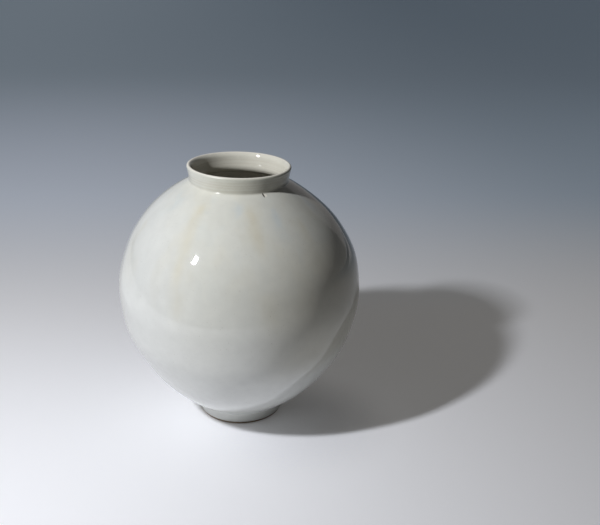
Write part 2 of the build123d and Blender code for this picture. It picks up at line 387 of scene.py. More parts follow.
    def clay_outside(self, low, high, step):
        """The clay's outer face between two heights: foot side, globe, then collar, with open corners."""
        start, up = self.foot_line(self.glaze)[:2]
        radius = self.form.underside_radius - self.glaze
        corner = start + up * crossings(start, up, self.under, radius)[0]
        runs = []
        if low < corner[1]:
            top = self.at_height(start, up, min(high, corner[1]))
            runs.append(line(self.at_height(start, up, low), top, step))
        if high > corner[1] and low < self.seat:
            runs.append(self.side(self.glaze, max(low, corner[1]), min(high, self.seat), step))
        if high > self.seat:
            half = self.edge - self.glaze
            edge = self.lip + self.collar_out * half
            runs.append(line(self.at_height(edge, self.collar_up, max(low, self.seat)), edge, step))
            runs.append(arc(self.lip, half, -self.lean, pi / 2, BEVEL_STEP))
        return chain(*runs)

    def mouth(self, skin, step):
        """The inner face in two runs, and the height of its end: from the lip's crest down the bevel, then
        down the mouth's wall and round its edge to the ceiling."""
        form = self.form
        turn = heading(self.lip, self.bevel)
        crest = arc(self.lip, self.edge - skin, pi / 2, turn, LIP_STEP)
        bevel = arc(self.bevel, form.lip_bevel_radius - skin, turn, pi - form.mouth_lean, BEVEL_STEP)
        ease = form.mouth_edge_round - skin
        ceiling = form.shoulder_radius - self.inner_depth + skin
        middle = bevel[-1] + self.mouth_out * ease
        middle = middle - self.mouth_up * crossings(middle, -self.mouth_up, self.shoulder, ceiling + ease)[0]
        last = self.shoulder + (middle - self.shoulder) * ceiling / (ceiling + ease)
        wall = line(bevel[-1], middle - self.mouth_out * ease, step)
        bend = arc(middle, ease, pi - form.mouth_lean, 2 * pi + heading(last, middle), COLLAR_STEP)
        return chain(crest, bevel), chain(wall, bend), last[1]

    def throat(self, low, high, step):
        """The clay of the mouth's wall from one height down to another."""
        run = self.mouth(self.glaze, step)[1]
        ends = [(np.interp(level, run[::-1, 1], run[::-1, 0]), level) for level in (high, low)]
        between = run[(run[:, 1] < high) & (run[:, 1] > low)]
        return chain(ends[:1], between, ends[1:])

    def hollow(self, skin, low, high, step):
        """The inner wall from a height down to a lower one, or to the middle of the floor if low is the
        floor's."""
        form = self.form
        depth = self.inner_depth - skin
        level = form.floor_height - skin
        bend = form.floor_round + skin
        side = form.underside_radius - depth
        rise = level + bend - self.under[1]
        middle = np.array((self.under[0] + sqrt((side - bend) ** 2 - rise**2), level + bend))
        turn = heading(middle, self.under)
        lowest = self.under[1] + side * sin(turn)
        wall = self.side(depth, max(low, lowest), high, step)[::-1]
        if low > lowest:
            return wall
        return chain(wall, arc(middle, bend, turn, -pi / 2, step), line((middle[0], level), (0, level), step))

    def bead(self, skin, step):
        """The slip ridge inside the belly seam, and the heights of its ends: a large circle that stands a
        little out of the wall."""
        form = self.form
        radius = form.seam_bead_radius - skin
        inside = self.belly - self.inner_depth
        middle = np.array((inside + form.seam_bead_radius - form.seam_bead_height, self.belly_height))
        bowls = ((self.upper, form.upper_belly_radius, 1), (self.lower, form.lower_belly_radius, -1))
        ends = []
        for centre, wall, way in bowls:
            wall = wall - self.inner_depth + skin
            gap = middle[0] - centre[0]
            across = (gap**2 + wall**2 - radius**2) / (2 * gap)
            ends.append((centre[0] + across, self.belly_height + way * sqrt(wall**2 - across**2)))
        start, stop = (heading(end, middle) % (2 * pi) for end in ends)
        return arc(middle, radius, start, stop, step), ends[0][1], ends[1][1]

    def lining(self, skin, step):
        """The whole inner wall from the ceiling's edge to the middle of the floor, over the seam's ridge."""
        ridge, top, bottom = self.bead(skin, step)
        above = self.hollow(skin, top, self.mouth(skin, step)[2], step)
        below = self.hollow(skin, self.form.floor_height - skin, bottom, step)
        return chain(above, ridge, below)

    def seam_end(self, depth, centre, radius, lift):
        """Where the sloping belly seam meets the clay at a depth under the glaze."""
        middle = np.array((self.belly - self.inner_depth / 2, self.belly_height + lift))
        along = np.array((1, self.seam_rise)) / hypot(1, self.seam_rise)
        return middle + along * crossings(middle, along, centre, radius - depth)[1]

    def seam_ends(self):
        """Four corners of the belly seam: outer and inner end of its lower face, then of its upper face."""
        form = self.form
        lift = form.slip_thickness / cos(form.seam_slope)
        outer = (self.glaze, self.upper, form.upper_belly_radius)
        inner = (self.inner_depth - self.glaze, self.lower, form.lower_belly_radius)
        return [self.seam_end(*end, rise) for rise in (0, lift) for end in (outer, inner)]

    def outer_glaze(self):
        """Outer coat: its face going up, then the clay's face going down."""
        under = self.clay_outside(self.form.bare_edge_height, self.height, self.form.rough_step)
        return chain(self.glazed_outside(), under[::-1])

    def inner_glaze(self):
        """Inner coat: the clay's face going up from the floor's middle, then its own face going down."""
        step = self.form.rough_step
        under = chain(*self.mouth(self.glaze, step)[:2], self.lining(self.glaze, step))[::-1]
        step = self.form.fine_step
        return chain(under, *self.mouth(0, step)[:2], self.lining(0, step))

    def foot_glaze(self):
        """Recess coat: its ceiling and side, then the clay's side and ceiling back to the middle."""
        form = self.form
        start, up = self.bore_line(0)
        clay, clay_up = self.bore_line(self.glaze)
        level = form.foot_height - self.glaze
        pool = form.foot_pool_radius
        corner = self.at_height(start, up, level)
        back = pool / tan(acos(up[0]) / 2)
        middle = np.array((corner[0] - back, level - pool))
        ceiling = line((0, level), (corner[0] - back, level), RECESS_STEP)
        bend = arc(middle, pool, pi / 2, heading((up[1], -up[0])), POOL_STEP)
        bead = self.at_height(start, up, form.bare_edge_height + self.glaze)
        side = line(bend[-1], bead, RECESS_SIDE_STEP)
        drip = line(bead, self.at_height(clay, clay_up, form.bare_edge_height), LIP_STEP)
        back_side = line(drip[-1], self.at_height(clay, clay_up, form.foot_height), form.rough_step)
        back_ceiling = line(back_side[-1], (0, form.foot_height), form.rough_step)
        return chain(ceiling, bend, side, drip, back_side, back_ceiling)

    def foot_ring(self):
        """Clay ring with both standing edges eased."""
        form = self.form
        start, up, out = self.foot_line(self.glaze)
        bore, bore_up = self.bore_line(self.glaze)
        bore_out = np.array((-bore_up[1], bore_up[0]))
        ease = form.foot_edge_round
        top = form.foot_height - form.slip_thickness
        outer = np.array((start[0] + ease * up[0] / up[1] - ease / up[1], ease))
        inner = np.array((bore[0] + ease * bore_up[0] / bore_up[1] + ease / bore_up[1], ease))
        outer_top = self.at_height(start, up, top)
        inner_top = self.at_height(bore, bore_up, top)
        return chain(
            line((inner[0], 0), (outer[0], 0), FOOT_STEP),
            arc(outer, ease, -pi / 2, heading(out), FOOT_EDGE_STEP),
            line(outer + out * ease, outer_top, FOOT_STEP),
            line(outer_top, inner_top, form.rough_step),
            line(inner_top, inner + bore_out * ease, FOOT_STEP),
            arc(inner, ease, heading(bore_out) % (2 * pi), 1.5 * pi, FOOT_EDGE_STEP),
        )

    def foot_slip(self):
        """Flat ring of slip between the foot and the base."""
        inner = self.bore_line(self.glaze)
        outer = self.foot_line(self.glaze)[:2]
        high = self.form.foot_height
        low = high - self.form.slip_thickness
        corners = ((inner, low), (outer, low), (outer, high), (inner, high))
        return np.array([self.at_height(*side, level) for side, level in corners])

    def lower_bowl(self):
        """Bowl from its flat base up to the bevelled rim and down its inside to the floor's middle."""
        form = self.form
        step = form.rough_step
        outer, inner = self.seam_ends()[:2]
        outside = self.clay_outside(form.foot_height, outer[1], step)
        base = line((0, form.foot_height), outside[0], step)
        inside = self.hollow(self.glaze, form.floor_height - self.glaze, inner[1], step)
        return chain(base, outside, line(outer, inner, step), inside)

    def belly_slip(self):
        """Slip between the bevelled rims, with its ridge inside."""
        step = self.form.rough_step / 4
        low_outer, low_inner, high_outer, high_inner = self.seam_ends()
        ridge, top, bottom = self.bead(self.glaze, step)
        wall = self.inner_depth - self.glaze
        return chain(
            self.side(self.glaze, low_outer[1], high_outer[1], step),
            line(high_outer, high_inner, step),
            self.side(wall, high_inner[1], top, step),
            ridge,
            self.side(wall, bottom, low_inner[1], step),
            line(low_inner, low_outer, step),
        )

    def upper_bowl(self):
        """Bowl turned over, from the bevelled rim up to the collar's flat seat, and down its inside."""
        step = self.form.rough_step
        outer, inner = self.seam_ends()[2:]
        top = self.seat - self.form.slip_thickness
        outside = self.side(self.glaze, outer[1], top, step)
        ceiling = self.mouth(self.glaze, step)[2]
        throat = self.throat(ceiling, top, step)
        inside = self.hollow(self.glaze, inner[1], ceiling, step)
        return chain(outside, line(outside[-1], throat[0], step), throat, inside, line(inner, outer, step))

    def neck_slip(self):
        """Flat ring of slip under the collar."""
        thickness = self.form.slip_thickness
        low = self.seat - thickness
        outside = self.side(self.glaze, low, self.seat, thickness)
        return chain(outside, self.throat(low, self.seat, THROAT_STEP))

    def neck_collar(self):
        """Leaning collar with its bevelled lip, above the slip."""
        step = self.form.rough_step / 4
        outside = self.clay_outside(self.seat, self.height, step)
        lip = self.mouth(self.glaze, step)[0]
        return chain(outside, lip, self.throat(self.seat, lip[-1][1], step))


def turned(section, around):
    """Carries a half section round the jar's axis. Each point of the section keeps its radius and height and
    takes every direction from 0 to a full turn. A section that starts and ends on the axis is closed there
    with one point."""
    on_axis = section[0, 0] < 1e-9
    rings = section[1:-1] if on_axis else section
    direction = np.linspace(0, 2 * pi, around, endpoint=False)
    radius = np.repeat(rings[:, 0], around)
    height = np.repeat(rings[:, 1], around)
    turn = np.tile(direction, len(rings))
    count = len(rings)
    first = np.arange(count - 1 if on_axis else count)[:, None] * around
    after = (np.arange(1, len(first) + 1) % count)[:, None] * around
    here = np.arange(around)[None, :]
    beside = (here + 1) % around
    quads = np.stack((first + here, first + beside, after + beside, after + here), axis=-1).reshape(-1, 4)
    fans = []
    if on_axis:
        radius = np.concatenate((radius, (0, 0)))
        height = np.concatenate((height, (section[0, 1], section[-1, 1])))
        turn = np.concatenate((turn, (0, 0)))
        here = here[0]
        beside = beside[0]
        last = (count - 1) * around
        bottom = np.full(around, count * around)
        fans = np.column_stack((bottom, beside, here)).tolist()
        fans += np.column_stack((bottom + 1, last + here, last + beside)).tolist()
    return radius, turn, height, quads.tolist() + fans


# Slow waves of the thrown wall: strength, waves around the jar, phase per metre of height, phase at the floor
WAVES = ((1.0, 2, 9, 0.6), (0.7, 3, -14, -1.9), (0.5, 5, 31, -2.138), (1.2, 1, 80, 1.789))

# The waves grow out to a radius, from foot to globe and from lip to shoulder, and a share stays at the lip
WAVY_RADIUS = 0.08
WAVY_FOOT = (0.03, 0.08)
WAVY_LIP = (0.43, 0.38)
WAVY_LIP_SHARE = 0.15

# Heights and spreads of the broad belly, the two slips and the hollow, with the hollow's side and its width
BROAD_PLACE = (0.25, 0.13)
UPPER_SLIP_PLACE = (0.372, 0.034)
LOWER_SLIP_PLACE = (0.105, 0.045)
HOLLOW_PLACE = (0.336, 0.034)
HOLLOW_SIDE = radians(-113)
HOLLOW_WIDTH = 0.35

# Heights over which the lip grows oval and the shoulder starts to lean
OVAL_RISE = (0.405, 0.440)
LEAN_RISE = (0.335, 0.395)


def between_turns(turn, side):
    """Angle from one direction to others, the short way round."""
    return (turn - side + pi) % (2 * pi) - pi


def thrown(form, radius, turn, height):
    """Moves points as a thrower's hands do: the radius wavers by a few slow waves around and up the jar, the
    belly grows by the square of a cosine around and the lip is drawn in by the square of a sine. A hollow
    with a swelling under it, the slope of a bell curve in height times a bell curve around, dips the left
    front. Whole rings slip sideways, by one bell curve in height at the shoulder and one under the belly, and
    from the shoulder up they lean to one side."""
    slow = np.zeros_like(radius)
    for strength, count, climb, phase in WAVES:
        slow += strength * np.cos(count * turn + climb * height + phase)
    wavy = ramp(radius, 0, WAVY_RADIUS) * ramp(height, *WAVY_FOOT)
    wavy = wavy * np.maximum(ramp(height, *WAVY_LIP), WAVY_LIP_SHARE)
    dip = (height - HOLLOW_PLACE[0]) / HOLLOW_PLACE[1] * bell(height, *HOLLOW_PLACE)
    dip = dip * bell(between_turns(turn, HOLLOW_SIDE), 0, HOLLOW_WIDTH)
    radius = radius + form.waver * slow * wavy - form.hollow * dip
    radius = radius + form.broad * np.cos(turn) ** 2 * bell(height, *BROAD_PLACE) * wavy
    radius = radius - form.oval * np.sin(turn) ** 2 * ramp(height, *OVAL_RISE)
    upper_slip = form.upper_slip * bell(height, *UPPER_SLIP_PLACE)
    lower_slip = form.lower_slip * bell(height, *LOWER_SLIP_PLACE)
    x = radius * np.cos(turn) + upper_slip + lower_slip
    lift = ramp(height, *LEAN_RISE)
    sunk = tan(form.lean) * lift * lift * (3 - 2 * lift) * x
    return np.column_stack((x, radius * np.sin(turn), height - sunk))


def piece_mesh(name, points, faces, sharp=40):
    """A mesh object from points and faces, smooth but for edges sharper than an angle in degrees."""
    mesh = bpy.data.meshes.new(name)
    mesh.from_pydata(points.tolist(), [], faces)
    mesh.polygons.foreach_set("use_smooth", np.ones(len(mesh.polygons), bool))
    mesh.set_sharp_from_angle(angle=radians(sharp))
    if mesh.validate():
        raise ValueError(f"{name} has faces that don't fit together")
    piece = bpy.data.objects.new(name, mesh)
    bpy.context.scene.collection.objects.link(piece)
    return piece


def mark(piece, name, values):
    """Keeps one number for each point of a mesh, for its material."""
    attribute = piece.data.attributes.new(name, "FLOAT", "POINT")
    attribute.data.foreach_set("value", np.asarray(values, np.float32))


def put_up(piece, node, material):
    """Lets a piece stand for its CAD node and ride on the jar's one body."""
    piece.data.materials.append(material)
    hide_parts(node)
    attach(piece, "root")


def make_piece(form, name, node, material, around):
    """Turns the half section that bears a CAD node's name, and puts the piece in the node's place."""
    radius, turn, height, faces = turned(getattr(JarSection(form), node)(), around)
    piece = piece_mesh(name, thrown(form, radius, turn, height), faces)
    put_up(piece, node, material)
    return piece, radius, turn, height


# Straw coloured runs: direction and drift per metre of fall in degrees, top, bottom, half width, strength
STAINS = (
    (-120.5, 0, 0.409, 0.240, 0.0092, 0.85),
    (-81.5, 70, 0.405, 0.330, 0.0095, 0.95),
    (-79.0, 60, 0.300, 0.215, 0.0160, 0.45),
    (-46.0, 0, 0.385, 0.335, 0.0060, 0.6),
    (-119.0, 0, 0.300, 0.235, 0.0110, 0.5),
    (-8.0, 20, 0.400, 0.300, 0.0080, 0.7),
    (38.0, -15, 0.405, 0.250, 0.0075, 0.8),
    (97.0, 10, 0.398, 0.330, 0.0100, 0.6),
    (151.0, 0, 0.404, 0.270, 0.0070, 0.7),
)

# Thick runs straight down from under the collar: direction, height of the bottom, half width, strength
RUN_TOP = 0.412
RUNS = (
    (-152.0, 0.365, 0.0140, 0.9),
    (-115.5, 0.360, 0.0060, 0.8),
    (-89.5, 0.375, 0.0070, 0.8),
    (-62.0, 0.350, 0.0070, 0.9),
    (-20.0, 0.350, 0.0110, 0.8),
    (17.0, 0.360, 0.0080, 0.9),
    (64.0, 0.370, 0.0120, 0.8),
    (120.0, 0.355, 0.0090, 0.9),
    (178.0, 0.365, 0.0100, 0.8),
)

# A run fades over this share of its length at the bottom, and over this length at the top
RUN_FADE = 0.6
RUN_END = 0.012


def run_marks(runs, radius, turn, height):
    """Strength of the glaze's runs: across a run a bell curve of the distance around the jar, and along it a
    smooth rise at its bottom and a straight end at its top. Where runs meet, the stronger one shows."""
    total = np.zeros_like(radius)
    for side, drift, top, bottom, width, strength in runs:
        middle = radians(side) + radians(drift) * (top - height)
        across = bell(between_turns(turn, middle) * radius, 0, width)
        fade = ramp(height, bottom, bottom + RUN_FADE * (top - bottom))
        end = ramp(height, top, top - RUN_END)
        total = np.maximum(total, strength * across * fade * fade * (3 - 2 * fade) * end)
    return total


# How far below the seat the collar's tone starts, outside and inside, and how soon it is full
COLLAR_DROP = 0.001
COLLAR_DROP_INSIDE = 0.013
COLLAR_FADE = 0.003

# How far below the crest the turning lines end, outside and inside, and how soon they are full
LINES_DROP = 0.004
LINES_DROP_INSIDE = 0.010
LINES_FADE = 0.004

# How far below the seat the inside's tone, paler as painted light, starts and is full, and its share above
# that
INSIDE_DROP = 0.006
INSIDE_FULL_DROP = 0.014
INSIDE_SHARE = 0.45

# Spreads of the crest's tone and of the worn edge, which reaches further down outside
CREST_SPREAD = 0.0009
WORN_SPREAD = 0.0006
WORN_SPREAD_OUTSIDE = 0.0036


def glaze_marks(jar, node, radius, turn, height):
    """Numbers that the glaze reads at each point: the two kinds of run on the outer coat, the collar, its
    turning lines below the lip, the inside below the collar where painted light and shade go, the lip's crest
    and its worn edge. They grow in straight lines over height, and the crest and the worn edge are bell
    curves around the jar's top."""
    outside = node == "outer_glaze"
    inside = node == "inner_glaze"
    straight = [(side, 0, RUN_TOP, *rest) for side, *rest in RUNS]
    collar_low = jar.seat - (COLLAR_DROP_INSIDE if inside else COLLAR_DROP)
    collar = ramp(height, collar_low, collar_low + COLLAR_FADE)
    lines_top = jar.height - (LINES_DROP_INSIDE if inside else LINES_DROP)
    deep = ramp(height, jar.seat - INSIDE_DROP, jar.seat - INSIDE_FULL_DROP)
    return {
        "stain": outside * run_marks(STAINS, radius, turn, height),
        "run": outside * run_marks(straight, radius, turn, height),
        "collar": collar,
        "turned": collar * ramp(height, lines_top, lines_top - LINES_FADE),
        "inside": inside * np.maximum(deep, INSIDE_SHARE),
        "crest": bell(height, jar.height, CREST_SPREAD),
        "worn": bell(height, jar.height, WORN_SPREAD_OUTSIDE if outside else WORN_SPREAD),
    }


# Where an oval spot ends and is full, as a squared distance in half widths, and where its side starts
SPOT_EDGE = (1.0, 0.3)
SPOT_WALL = (0.0, 0.02)


class Nodes:
    """Short ways to put nodes into a tree."""

    def __init__(self, tree, place):
        self.tree = tree
        self.place = tree.nodes.new("ShaderNodeTexCoord").outputs[place]

    def give(self, socket, value):
        """Sets a socket to a value, or links another socket to it."""
        if isinstance(value, bpy.types.NodeSocket):
            self.tree.links.new(value, socket)
        else:
            socket.default_value = value

    def math(self, operation, *values):
        """Result of a sum on numbers."""
        node = self.tree.nodes.new("ShaderNodeMath")
        node.operation = operation
        for socket, value in zip(node.inputs, values):
            self.give(socket, value)
        return node.outputs[0]

    def times(self, first, second):
        """One number times another."""
        return self.math("MULTIPLY", first, second)

    def most(self, first, second):
        """The larger of two numbers."""
        return self.math("MAXIMUM", first, second)

    def noise(self, scale, detail=3.0, roughness=0.5, stretch=None):
        """Cloudy noise over the surface, from 0 to 1. Stretch scales the three directions first."""
        place = self.place
        if stretch:
            mapping = self.tree.nodes.new("ShaderNodeMapping")
            mapping.inputs["Scale"].default_value = stretch
            self.give(mapping.inputs["Vector"], place)
            place = mapping.outputs[0]
        node = self.tree.nodes.new("ShaderNodeTexNoise")
        self.give(node.inputs["Vector"], place)
        node.inputs["Scale"].default_value = scale
        node.inputs["Detail"].default_value = detail
        node.inputs["Roughness"].default_value = roughness
        return node.outputs[0]

    def ranged(self, value, low, high, to_low=0.0, to_high=1.0):
        """A number moved smoothly from one range to another, and held inside it."""
        node = self.tree.nodes.new("ShaderNodeMapRange")
        node.interpolation_type = "SMOOTHSTEP"
        for socket, number in zip(node.inputs, (value, low, high, to_low, to_high)):
            self.give(socket, number)
        return node.outputs[0]

    def mixed(self, factor, first, second):
        """A colour between two colours."""
        node = self.tree.nodes.new("ShaderNodeMix")
        node.data_type = "RGBA"
        self.give(node.inputs[0], factor)
        for socket, value in ((node.inputs[6], first), (node.inputs[7], second)):
            self.give(socket, value if isinstance(value, bpy.types.NodeSocket) else (*value, 1))
        return node.outputs[2]

    def marked(self, name):
        """The number that a piece keeps for each of its points."""
        node = self.tree.nodes.new("ShaderNodeAttribute")
        node.attribute_name = name
        return node.outputs["Fac"]

    def axes(self):
        """The three coordinates of the place."""
        node = self.tree.nodes.new("ShaderNodeSeparateXYZ")
        self.give(node.inputs[0], self.place)
        return node.outputs

    def toward(self, x, y, side):
        """How far a place lies in a level direction."""
        return self.math("MULTIPLY_ADD", y, sin(side), self.times(x, cos(side)))

    def spot(self, side, height, wide, tall):
        """One in an oval on the jar's wall, in a direction from the axis and at a height, and none outside
        it, nor on the far side of the axis."""
        x, y, z = self.axes()
        along = self.math("DIVIDE", self.toward(x, y, side + pi / 2), wide)
        above = self.math("DIVIDE", self.math("SUBTRACT", z, height), tall)
        apart = self.math("MULTIPLY_ADD", along, along, self.times(above, above))
        near_side = self.ranged(self.toward(x, y, side), *SPOT_WALL)
        return self.times(self.ranged(apart, *SPOT_EDGE), near_side)

    def seen(self):
        """One for what is seen, straight or in the glaze, and none for what lights the jar."""
        ray = self.tree.nodes.new("ShaderNodeLightPath").outputs
        return self.most(ray["Is Camera Ray"], self.most(ray["Is Glossy Ray"], ray["Is Transmission Ray"]))


class Finish(Nodes):
    """A material and the nodes behind its one shader."""

    def __init__(self, name, roughness=0.5, specular=0.5, ior=1.5):
        self.material = bpy.data.materials.new(name)
        self.material.use_nodes = True
        self.material.node_tree.nodes.clear()
        super().__init__(self.material.node_tree, "Object")
        self.shader = self.tree.nodes.new("ShaderNodeBsdfPrincipled")
        self.shader.inputs["Roughness"].default_value = roughness
        self.shader.inputs["Specular IOR Level"].default_value = specular
        self.shader.inputs["IOR"].default_value = ior
        out = self.tree.nodes.new("ShaderNodeOutputMaterial")
        self.tree.links.new(self.shader.outputs[0], out.inputs[0])

    def shade(self, name, value):
        """Gives one of the shader's sockets a value."""
        self.give(self.shader.inputs[name], value)

    def bump(self, height, distance, under=None):
        """Relief from a height, over another relief if there is one."""
        node = self.tree.nodes.new("ShaderNodeBump")
        node.inputs["Strength"].default_value = 1.0
        node.inputs["Distance"].default_value = distance
        self.give(node.inputs["Height"], height)
        if under:
            self.give(node.inputs["Normal"], under)
        self.shade("Normal", node.outputs[0])
        return node.outputs[0]


# Where the glaze's painted light on the lit left side and painted shade on the right side start, along X in
# metres
PAINTED_LIT_SIDE = (-0.04, -0.15)
COLLAR_PAINTED_LIT_SIDE = (-0.02, -0.08)
PAINTED_SHADE_SIDE = (0.0, 0.12)

# Where it changes up or down the jar, in heights: painted bounce light low on the jar, the band of painted
# shade on the right side, painted shade at the foot, the shoulder's drips and painted shade deep inside
PAINTED_BOUNCE_HEIGHTS = (0.33, 0.07)
PAINTED_SHADE_TOP = (0.37, 0.31)
PAINTED_SHADE_BOTTOM = (0.11, 0.19)
FOOT_PAINTED_SHADE = (0.030, 0.018)
SHOULDER = (0.22, 0.36)
PAINTED_DEEP_SHADE = (0.40, 0.36)

# Strengths of the painted shade at the foot, of the painted light on the collar's left and of its turning
# lines
FOOT_PAINTED_SHADE_SHARE = 0.4
COLLAR_PAINTED_LIT_SHARE = 0.45
GROOVE_SHARE = 0.18

# The part of a noise that shows, from none to full, and for some the least and the most strength it has
STREAKS = (0.35, 0.6)
STRAW_STREAKS = (0.25, 0.62, 0.45, 1.0)
STRAW_DRIPS = (0.50, 0.64, 0.0, 0.18)
THICK_DRIPS = (0.46, 0.34, 0.0, 0.16)
GROOVES = (0.46, 0.62)
PINHOLES = (0.81, 0.85, 0.0, 0.25)
CLOUD_SHARE = 1.2
FINE_SHARE = 0.8
CLOUDINESS = (0.6, 1.4)
GLAZE_ROUGHNESS = (0.3, 0.7, 0.035, 0.075)
WORN_ROUGHNESS = 0.4

# Depth of the turning lines and pinholes, height of the glaze's ripple and how much more of it the collar has
GROOVE_DEPTH = 0.00012
PINHOLE_DEPTH = 0.0004
RIPPLE_HEIGHT = 0.00006
COLLAR_RIPPLE = 0.7

# Crawled glaze under the collar and the pale rim beside it: direction, height, half width, half height
CRAWL = (radians(-63.3), 0.4112, 0.0014, 0.0028)
CRAWL_RIM = (radians(-61.2), 0.4106, 0.0034, 0.0018)


def glaze_finish(finish):
    """Glossy milky glaze, cool where it ran thick and warm where it is thin on the collar, with faint straw
    coloured runs, small pinholes and fine turning lines on the collar. Painted light and shade are in its
    colour: paler low on the jar for bounce light from the floor, cooler on the lit left side, warmer and
    darker on the shaded right side, darker at the foot, paler inside the neck and darker deep inside the
    globe."""
    glaze = Finish("milky_glaze", roughness=0.06, ior=1.58)
    axes = glaze.axes()
    x, z = axes["X"], axes["Z"]
    cloud = glaze.noise(scale=9, detail=4)
    fine = glaze.noise(scale=60)
    streaky = glaze.noise(scale=34, stretch=(1, 1, 0.12))
    drips = glaze.noise(scale=26, detail=2, stretch=(1, 1, 0.10))
    lines = glaze.noise(scale=1.0, roughness=0.6, stretch=(3, 3, 420))
    collar = glaze.marked("collar")
    # Painted light: cooler glaze on the lit left side
    upper = glaze.mixed(glaze.ranged(x, *PAINTED_LIT_SIDE), finish.glaze, finish.painted_lit_side_glaze)
    # Painted bounce light: paler glaze towards the foot
    body = glaze.mixed(glaze.ranged(z, *PAINTED_BOUNCE_HEIGHTS), upper, finish.painted_bounce_glaze)
    # Painted shade: warmer and darker glaze on the shaded right side of the globe
    warm = glaze.times(glaze.ranged(z, *PAINTED_SHADE_TOP), glaze.ranged(z, *PAINTED_SHADE_BOTTOM))
    body = glaze.mixed(glaze.times(glaze.ranged(x, *PAINTED_SHADE_SIDE), warm), body, finish.painted_shade_side_glaze)
    # Painted shade: the foot, in the jar's own shadow, goes part way back to the darker upper glaze
    body = glaze.mixed(glaze.ranged(z, *FOOT_PAINTED_SHADE, 0.0, FOOT_PAINTED_SHADE_SHARE), body, finish.glaze)
    run = glaze.times(glaze.marked("run"), glaze.ranged(streaky, *STREAKS))
    body = glaze.mixed(run, body, finish.thick_glaze)
    shoulder = glaze.ranged(z, *SHOULDER)
    straw_drips = glaze.times(glaze.ranged(drips, *STRAW_DRIPS), shoulder)
    body = glaze.mixed(straw_drips, body, finish.stain)
    thick_drips = glaze.times(glaze.ranged(drips, *THICK_DRIPS), shoulder)
    body = glaze.mixed(thick_drips, body, finish.thick_glaze)
    # Painted light: the collar's lit left side is cooler as well
    cool = glaze.ranged(x, *COLLAR_PAINTED_LIT_SIDE, 0.0, COLLAR_PAINTED_LIT_SHARE)
    thin = glaze.mixed(cool, finish.thin_glaze, finish.painted_lit_side_glaze)
    body = glaze.mixed(collar, body, thin)
    straw = glaze.times(glaze.marked("stain"), glaze.ranged(streaky, *STRAW_STREAKS))
    body = glaze.mixed(straw, body, finish.stain)
    # Inside: paler glaze in the neck as painted light, darker glaze deep in the globe as painted shade
    lining = glaze.mixed(glaze.ranged(z, *PAINTED_DEEP_SHADE), finish.inner_glaze, finish.painted_deep_shade_glaze)
    body = glaze.mixed(glaze.marked("inside"), body, lining)
    groove = glaze.times(glaze.ranged(lines, *GROOVES), glaze.marked("turned"))
    body = glaze.mixed(glaze.times(groove, GROOVE_SHARE), body, finish.clay)
    body = glaze.mixed(glaze.marked("crest"), body, finish.lip)
    pin = glaze.ranged(glaze.noise(scale=620, detail=0), *PINHOLES)
    body = glaze.mixed(pin, body, finish.toasted_clay)
    body = glaze.mixed(glaze.spot(*CRAWL_RIM), body, finish.lip)
    crawl = glaze.spot(*CRAWL)
    body = glaze.mixed(crawl, body, finish.crack)
    tone = glaze.math("ADD", glaze.times(cloud, CLOUD_SHARE), glaze.times(fine, FINE_SHARE))
    tone = glaze.ranged(tone, *CLOUDINESS, 1 - finish.mottle, 1 + finish.mottle)
    mottled = glaze.tree.nodes.new("ShaderNodeVectorMath")
    mottled.operation = "SCALE"
    glaze.give(mottled.inputs[0], body)
    glaze.give(mottled.inputs["Scale"], tone)
    glaze.shade("Base Color", mottled.outputs[0])
    gloss = glaze.ranged(cloud, *GLAZE_ROUGHNESS)
    worn = glaze.marked("worn")
    glaze.shade("Roughness", glaze.math("MULTIPLY_ADD", worn, WORN_ROUGHNESS, gloss))
    more = glaze.math("MULTIPLY_ADD", collar, COLLAR_RIPPLE, 1.0)
    ripple = glaze.times(glaze.noise(scale=45, detail=2), more)
    relief = glaze.bump(groove, -GROOVE_DEPTH)
    relief = glaze.bump(ripple, RIPPLE_HEIGHT, under=relief)
    glaze.bump(glaze.most(pin, crawl), -PINHOLE_DEPTH, under=relief)
    return glaze.material


# The clay: where it browns towards the glaze, by how much and how patchily, its grain, specks and roughness
TOASTED = (0.0002, 0.0042)
TOAST = (0.1, 0.9, 0.1, 0.9)
PATCHES = 1.2
CLAY_GRAIN = (0.3, 0.7, 0.0, 0.45)
CLAY_SPECKS = (0.70, 0.76, 0.0, 0.7)
CLAY_ROUGHNESS = (0.3, 0.7, 0.72, 0.95)
GRAIN_HEIGHT = 0.0003


def clay_finish(finish):
    """Bare fired clay: warm and matt, toasted along the edge of the glaze, with grit and darker iron
    specks."""
    clay = Finish("bare_clay", roughness=0.85, specular=0.3)
    rough = clay.noise(scale=160, detail=5, roughness=0.65)
    patchy = clay.times(clay.math("SUBTRACT", clay.noise(scale=40), 0.5), PATCHES)
    toast = clay.math("ADD", clay.ranged(clay.axes()["Z"], *TOASTED), patchy)
    body = clay.mixed(clay.ranged(rough, *CLAY_GRAIN), finish.clay, finish.joint_slip)
    body = clay.mixed(clay.ranged(toast, *TOAST), body, finish.toasted_clay)
    specks = clay.ranged(clay.noise(scale=420, detail=1), *CLAY_SPECKS)
    clay.shade("Base Color", clay.mixed(specks, body, finish.crack))
    clay.shade("Roughness", clay.ranged(rough, *CLAY_ROUGHNESS))
    clay.bump(rough, GRAIN_HEIGHT)
    return clay.material


# Streaks, specks and roughness of the slip, and its grit's height
SLIP_STREAKS = (0.35, 0.65, 0.0, 0.5)
SLIP_SPECKS = (0.66, 0.74, 0.0, 0.5)
SLIP_ROUGHNESS = (0.3, 0.7, 0.65, 0.85)
GRIT_HEIGHT = 0.0002


